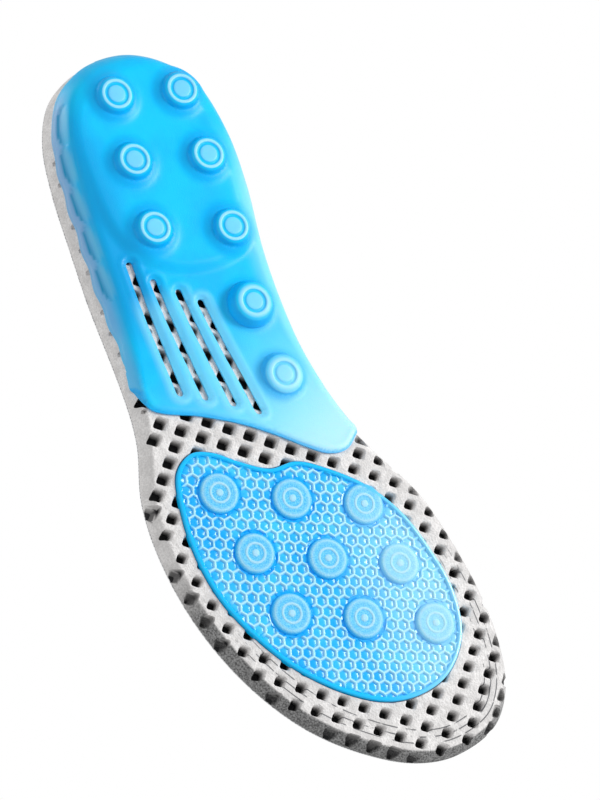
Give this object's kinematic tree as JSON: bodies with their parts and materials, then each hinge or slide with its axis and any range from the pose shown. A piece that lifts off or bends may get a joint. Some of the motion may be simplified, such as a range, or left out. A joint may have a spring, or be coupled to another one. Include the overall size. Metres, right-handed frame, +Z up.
{
  "type": "cushioned insole",
  "caption": "Full-length shoe insole for a left shoe: knitted top cover on perforated foam, with a gel heel and arch cup and a gel forefoot pad underneath.",
  "frame": {"origin": "centre of the whole insole's bounding box in plan, at the level that it stands on", "axes": "+X towards the toe, +Y towards the outer (lateral) side of the left foot, +Z up, with the knitted cover on top and the gel underneath"},
  "size_m": [0.2816, 0.1092, 0.0284],
  "materials": {
    "knit_cover": "white and pale grey knitted mesh, matt",
    "grey_foam": "light grey open-cell foam with a fine skin, matt",
    "blue_gel": "translucent cyan-blue gel, glossy"
  },
  "bodies": {
    "rear": {"top_cover_rear": "knit_cover", "foam_body_rear": "grey_foam", "heel_gel_cup": "blue_gel"},
    "ball": {"top_cover_ball": "knit_cover", "foam_body_ball": "grey_foam", "forefoot_pad_rear": "blue_gel"},
    "front": {"top_cover_front": "knit_cover", "foam_body_front": "grey_foam", "forefoot_pad_front": "blue_gel"},
    "toe": {"top_cover_toe": "knit_cover", "foam_body_toe": "grey_foam"}
  },
  "joints": [
    {"name": "waist_flex", "type": "hinge", "parent": "rear", "child": "ball", "pos_m": [0.01853, -0.00478, 0.0114], "axis": [0.5446, -0.8387, 0], "range_deg": [-10, 60], "stiffness_Nm_per_rad": 0.2},
    {"name": "ball_flex", "type": "hinge", "parent": "ball", "child": "front", "pos_m": [0.04773, -0.00028, 0.0089], "axis": [0.4003, -0.9164, 0], "range_deg": [-10, 60], "stiffness_Nm_per_rad": 0.15},
    {"name": "toe_flex", "type": "hinge", "parent": "front", "child": "toe", "pos_m": [0.12203, -0.00978, 0.0089], "axis": [0.4067, -0.9135, 0], "range_deg": [-10, 35], "stiffness_Nm_per_rad": 0.04}
  ]
}
